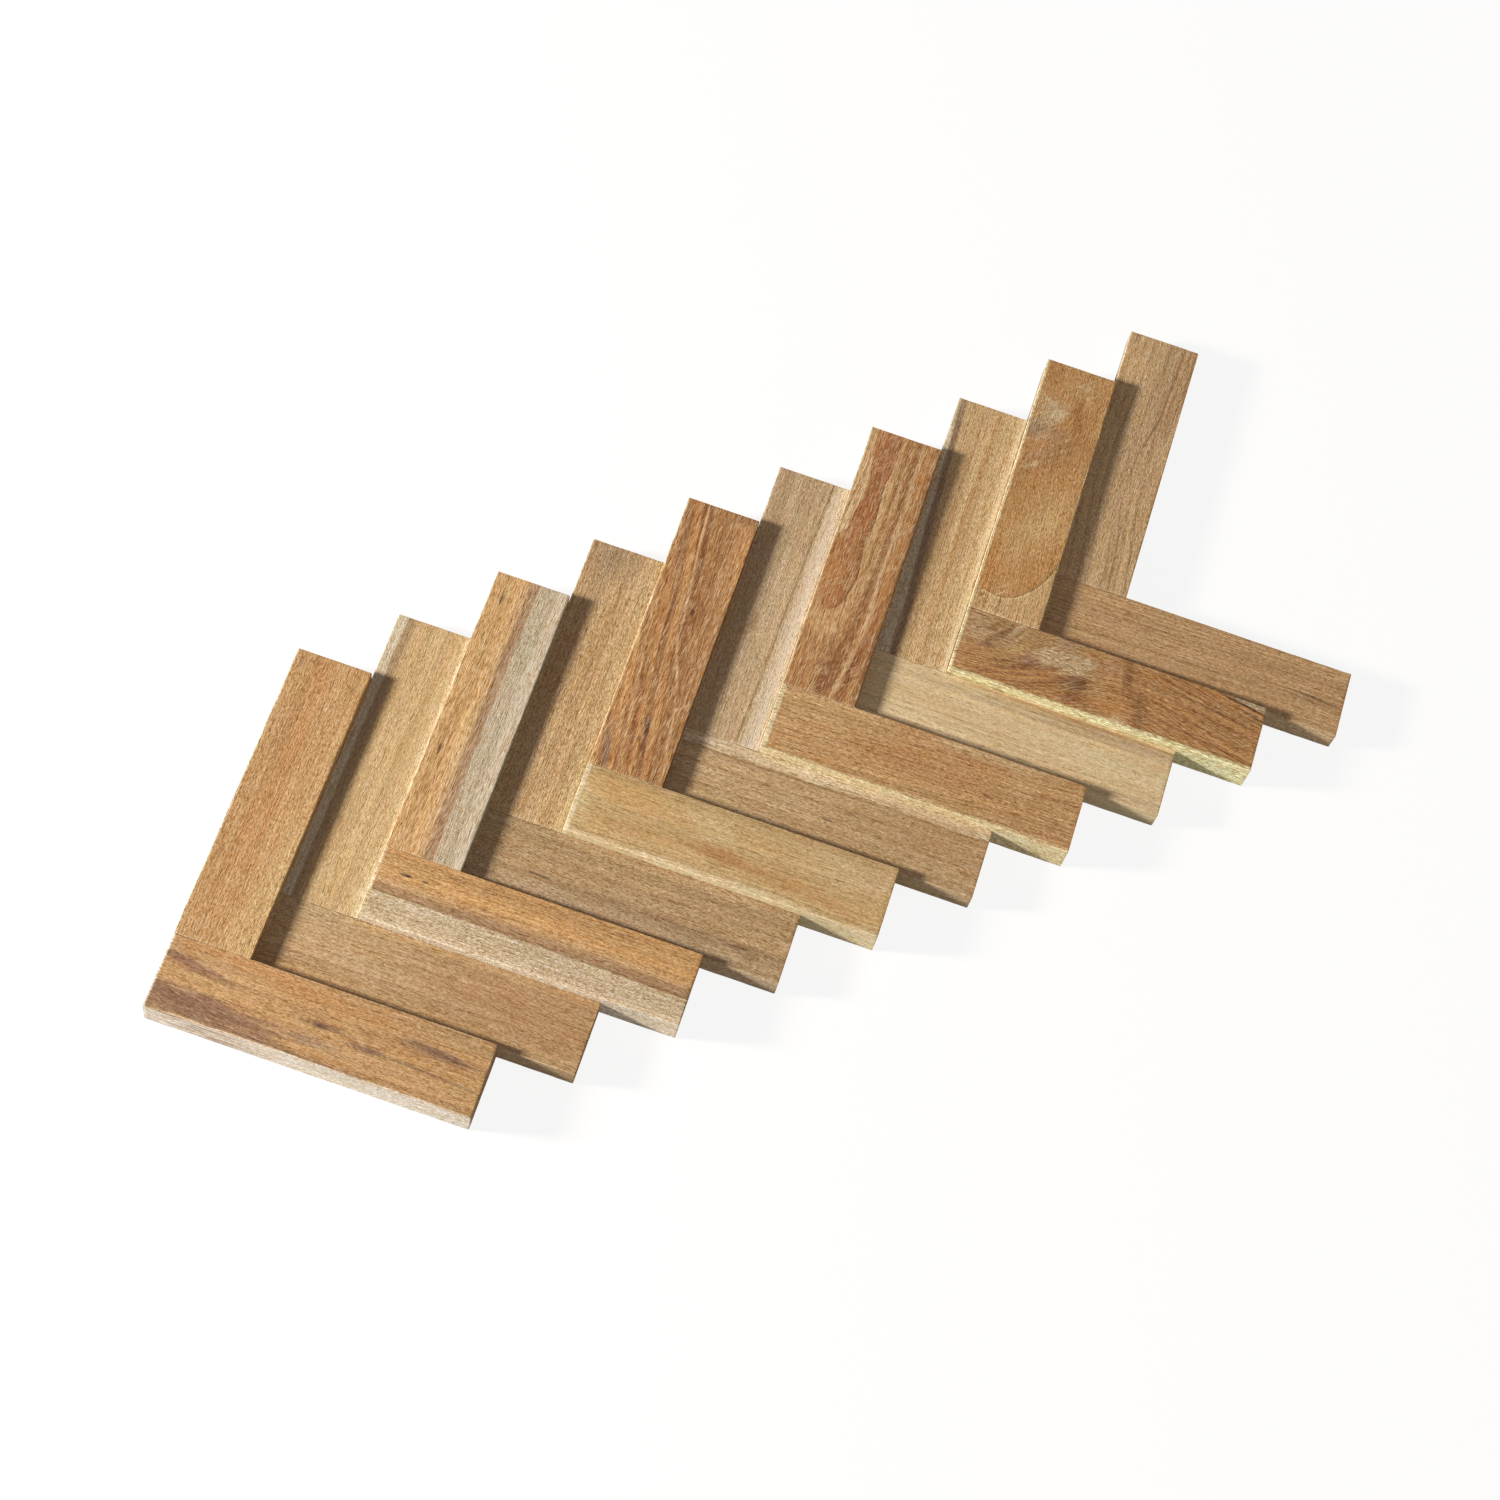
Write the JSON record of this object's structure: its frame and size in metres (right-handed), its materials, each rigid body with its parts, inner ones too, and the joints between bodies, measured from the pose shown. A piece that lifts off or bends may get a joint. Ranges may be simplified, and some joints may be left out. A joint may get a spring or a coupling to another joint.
{
  "type": "wood wall panel",
  "caption": "Flat-backed wall cladding panel of rectangular teak bars laid edge to edge as nested chevrons, thick and thin chevrons by turns, with a toothed outline that meets the next panel.",
  "frame": {"origin": "middle of the panel's outline, on its flat back", "axes": "+X along the row of chevrons, whose points face -X; +Z out of the show face; +Y across the panel, towards the ends of the up-running bars"},
  "size_m": [0.7692, 0.2982, 0.021],
  "materials": {
    "orange_teak": "sanded, unfinished",
    "sapwood_banded_teak": "sanded, unfinished",
    "red_teak": "sanded, unfinished",
    "knotty_teak": "sanded, unfinished",
    "golden_teak": "sanded, unfinished",
    "brown_teak": "sanded, unfinished"
  },
  "bodies": {
    "root": {"up_bar_01": "orange_teak", "down_bar_01": "orange_teak", "up_bar_02": "golden_teak", "down_bar_02": "brown_teak", "up_bar_03": "sapwood_banded_teak", "down_bar_03": "sapwood_banded_teak", "up_bar_04": "brown_teak", "down_bar_04": "brown_teak", "up_bar_05": "red_teak", "down_bar_05": "golden_teak", "up_bar_06": "brown_teak", "down_bar_06": "brown_teak", "up_bar_07": "red_teak", "down_bar_07": "orange_teak", "up_bar_08": "golden_teak", "down_bar_08": "golden_teak", "up_bar_09": "knotty_teak", "down_bar_09": "knotty_teak", "up_bar_10": "brown_teak", "down_bar_10": "brown_teak"}
  },
  "joints": []
}
